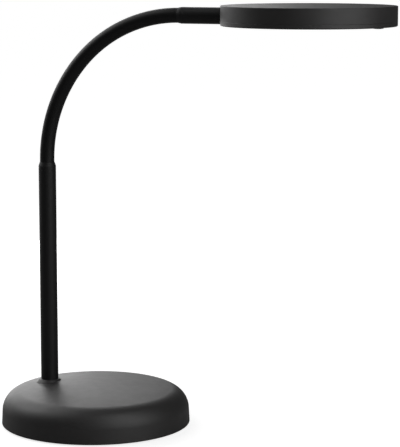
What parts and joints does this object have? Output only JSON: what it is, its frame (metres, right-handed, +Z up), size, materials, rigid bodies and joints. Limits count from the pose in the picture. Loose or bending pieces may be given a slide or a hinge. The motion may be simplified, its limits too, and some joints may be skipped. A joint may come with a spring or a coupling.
{
  "type": "gooseneck desk lamp",
  "caption": "Desk lamp with a round weighted base, a straight pole, a bendable gooseneck and a flat round light head with a dimmer button underneath.",
  "frame": {"origin": "middle of the foot pad's underside, on the table", "axes": "+Z up; +X from the pole towards the light head; XZ is the lamp's mirror plane"},
  "size_m": [0.3374, 0.16, 0.3553],
  "materials": {
    "casing": "fine spark-eroded satin black",
    "rubber_pad": "matt foam rubber",
    "black_paint": "satin black powder coat",
    "neck_sleeve": "smooth soft black sleeve",
    "spring_steel": "drawn wire",
    "zinc_steel": "zinc plated",
    "cast_metal": "die cast",
    "ballast_iron": "raw",
    "inlet_plastic": "moulded",
    "contact_brass": "nickel-flashed",
    "lead_sheath": "smooth",
    "heat_aluminium": "rolled",
    "white_board": "white solder resist",
    "light_chips": "yellow phosphor",
    "white_plastic": "moulded white",
    "opal_diffuser": "opal, fine matt",
    "green_board": "green solder resist",
    "component_black": "moulded",
    "button_plastic": "satin"
  },
  "bodies": {
    "stand": {"base_shell": "casing", "base_cover": "casing", "foot_pad": "rubber_pad", "cover_screws": "zinc_steel", "ballast_disc": "ballast_iron", "ballast_screws": "zinc_steel", "dc_jack": "inlet_plastic", "dc_jack_pin": "contact_brass", "base_lead": "lead_sheath", "pole_collar": "casing", "pole_tube": "black_paint", "pole_stud": "zinc_steel", "pole_washer": "zinc_steel", "pole_nut": "zinc_steel", "pole_end_ring": "black_paint", "neck_anchor_lower": "zinc_steel", "neck_sleeve_root": "neck_sleeve", "neck_coil_root": "spring_steel", "neck_lead": "lead_sheath"},
    "neck_01": {"neck_sleeve_01": "neck_sleeve", "neck_coil_01": "spring_steel"},
    "neck_02": {"neck_sleeve_02": "neck_sleeve", "neck_coil_02": "spring_steel"},
    "neck_03": {"neck_sleeve_03": "neck_sleeve", "neck_coil_03": "spring_steel"},
    "neck_04": {"neck_sleeve_04": "neck_sleeve", "neck_coil_04": "spring_steel"},
    "neck_05": {"neck_sleeve_05": "neck_sleeve", "neck_coil_05": "spring_steel"},
    "neck_06": {"neck_sleeve_06": "neck_sleeve", "neck_coil_06": "spring_steel"},
    "neck_07": {"neck_sleeve_07": "neck_sleeve", "neck_coil_07": "spring_steel"},
    "neck_08": {"neck_sleeve_08": "neck_sleeve", "neck_coil_08": "spring_steel"},
    "neck_09": {"neck_sleeve_09": "neck_sleeve", "neck_coil_09": "spring_steel"},
    "neck_10": {"neck_sleeve_10": "neck_sleeve", "neck_coil_10": "spring_steel"},
    "light_head": {"neck_sleeve_head": "neck_sleeve", "neck_coil_head": "spring_steel", "neck_anchor_upper": "zinc_steel", "head_end_ring": "black_paint", "head_tube": "black_paint", "head_bracket": "cast_metal", "head_cover": "casing", "head_bezel": "casing", "bezel_screws": "zinc_steel", "inner_screws": "zinc_steel", "heat_plate": "heat_aluminium", "led_board": "white_board", "led_chips": "light_chips", "reflector_ring": "white_plastic", "diffuser": "opal_diffuser", "control_board": "green_board", "board_parts": "component_black", "switch_body": "inlet_plastic", "head_lead": "lead_sheath"},
    "button": {"switch_plunger": "white_plastic", "button_cap": "button_plastic"}
  },
  "joints": [
    {"name": "neck_lower_bend", "type": "hinge", "parent": "stand", "child": "neck_01", "pos_m": [-0.04316, 0, 0.2264], "axis": [0.0005, 1, 0], "range_deg": [-14.5, 11], "deforming": ["neck_lead"]},
    {"name": "neck_lower_sway", "type": "hinge", "parent": "neck_01", "child": "neck_02", "pos_m": [-0.04129, 0, 0.24495], "axis": [-0.9848, 0, 0.1737], "range_deg": [-18, 18]},
    {"name": "neck_lower_bend_2", "type": "hinge", "parent": "neck_02", "child": "neck_03", "pos_m": [-0.0367, 0, 0.26302], "axis": [0.0005, 1, 0], "range_deg": [-14.5, 11]},
    {"name": "neck_lower_sway_2", "type": "hinge", "parent": "neck_03", "child": "neck_04", "pos_m": [-0.02949, 0, 0.28021], "axis": [-0.891, 0, 0.454], "range_deg": [-18, 18]},
    {"name": "neck_lower_bend_3", "type": "hinge", "parent": "neck_04", "child": "neck_05", "pos_m": [-0.01981, 0, 0.29615], "axis": [0.0005, 1, 0], "range_deg": [-14.5, 11]},
    {"name": "neck_upper_sway", "type": "hinge", "parent": "neck_05", "child": "neck_06", "pos_m": [-0.00789, 0, 0.31049], "axis": [-0.7193, 0, 0.6947], "range_deg": [-15, 15]},
    {"name": "neck_upper_bend", "type": "hinge", "parent": "neck_06", "child": "neck_07", "pos_m": [0.00542, 0, 0.32233], "axis": [0.0005, 1, 0], "range_deg": [-15, 11.5]},
    {"name": "neck_upper_sway_2", "type": "hinge", "parent": "neck_07", "child": "neck_08", "pos_m": [0.02038, 0, 0.33202], "axis": [-0.4783, 0, 0.8782], "range_deg": [-15, 15]},
    {"name": "neck_upper_bend_2", "type": "hinge", "parent": "neck_08", "child": "neck_09", "pos_m": [0.03663, 0, 0.33932], "axis": [0.0005, 1, 0], "range_deg": [-15, 11.5]},
    {"name": "neck_upper_sway_3", "type": "hinge", "parent": "neck_09", "child": "neck_10", "pos_m": [0.05379, 0, 0.34409], "axis": [-0.1934, 0, 0.9811], "range_deg": [-15, 15]},
    {"name": "neck_upper_bend_3", "type": "hinge", "parent": "neck_10", "child": "light_head", "pos_m": [0.07149, 0, 0.3462], "axis": [0.0005, 1, 0], "range_deg": [-15, 11.5]},
    {"name": "button_press", "type": "slide", "parent": "light_head", "child": "button", "axis": [0, 0, 1], "range_m": [0, 0.0006], "stiffness_N_per_m": 1500, "springref_m": -0.0005}
  ],
  "couplings": [
    {"joint": "neck_lower_bend_2", "follows": "neck_lower_bend", "ratio": 1},
    {"joint": "neck_lower_sway_2", "follows": "neck_lower_sway", "ratio": 1},
    {"joint": "neck_lower_bend_3", "follows": "neck_lower_bend", "ratio": 1},
    {"joint": "neck_upper_sway_2", "follows": "neck_upper_sway", "ratio": 1},
    {"joint": "neck_upper_bend_2", "follows": "neck_upper_bend", "ratio": 1},
    {"joint": "neck_upper_sway_3", "follows": "neck_upper_sway", "ratio": 1},
    {"joint": "neck_upper_bend_3", "follows": "neck_upper_bend", "ratio": 1}
  ]
}
